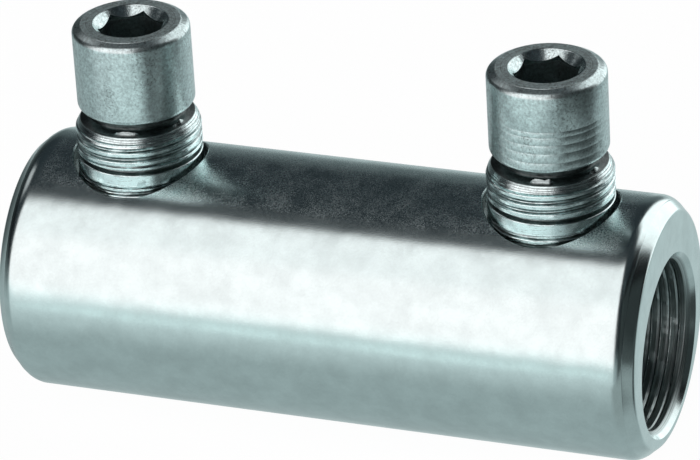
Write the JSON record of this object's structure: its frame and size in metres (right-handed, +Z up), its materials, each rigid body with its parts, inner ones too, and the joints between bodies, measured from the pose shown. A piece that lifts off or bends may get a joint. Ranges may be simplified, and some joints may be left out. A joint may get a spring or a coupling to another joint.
{
  "type": "screw connector",
  "caption": "Round metal cable connector with a blind conductor bore in each end, each clamped by a stepped shear bolt that has a hexagon socket.",
  "frame": {"origin": "centre of the right conductor bore's mouth, in the plane of the right end face", "axes": "+X out of the right mouth along the bore axis, +Z up along the bolts towards their heads, +Y away from the side that the picture shows"},
  "size_m": [0.063, 0.025, 0.0387],
  "materials": {
    "body_metal": "bright satin, turned and tinned",
    "bolt_metal": "dull satin, turned, with rubbed bright thread crests"
  },
  "bodies": {
    "body": {"connector_body": "body_metal"},
    "left_bolt": {"shear_bolt_left": "bolt_metal"},
    "right_bolt": {"shear_bolt_right": "bolt_metal"}
  },
  "joints": [
    {"name": "left_bolt_travel", "type": "slide", "parent": "body", "child": "left_bolt", "axis": [0, 0, 1], "range_m": [-0.0105, 0.0025]},
    {"name": "right_bolt_travel", "type": "slide", "parent": "body", "child": "right_bolt", "axis": [0, 0, 1], "range_m": [-0.0105, 0.0025]}
  ]
}
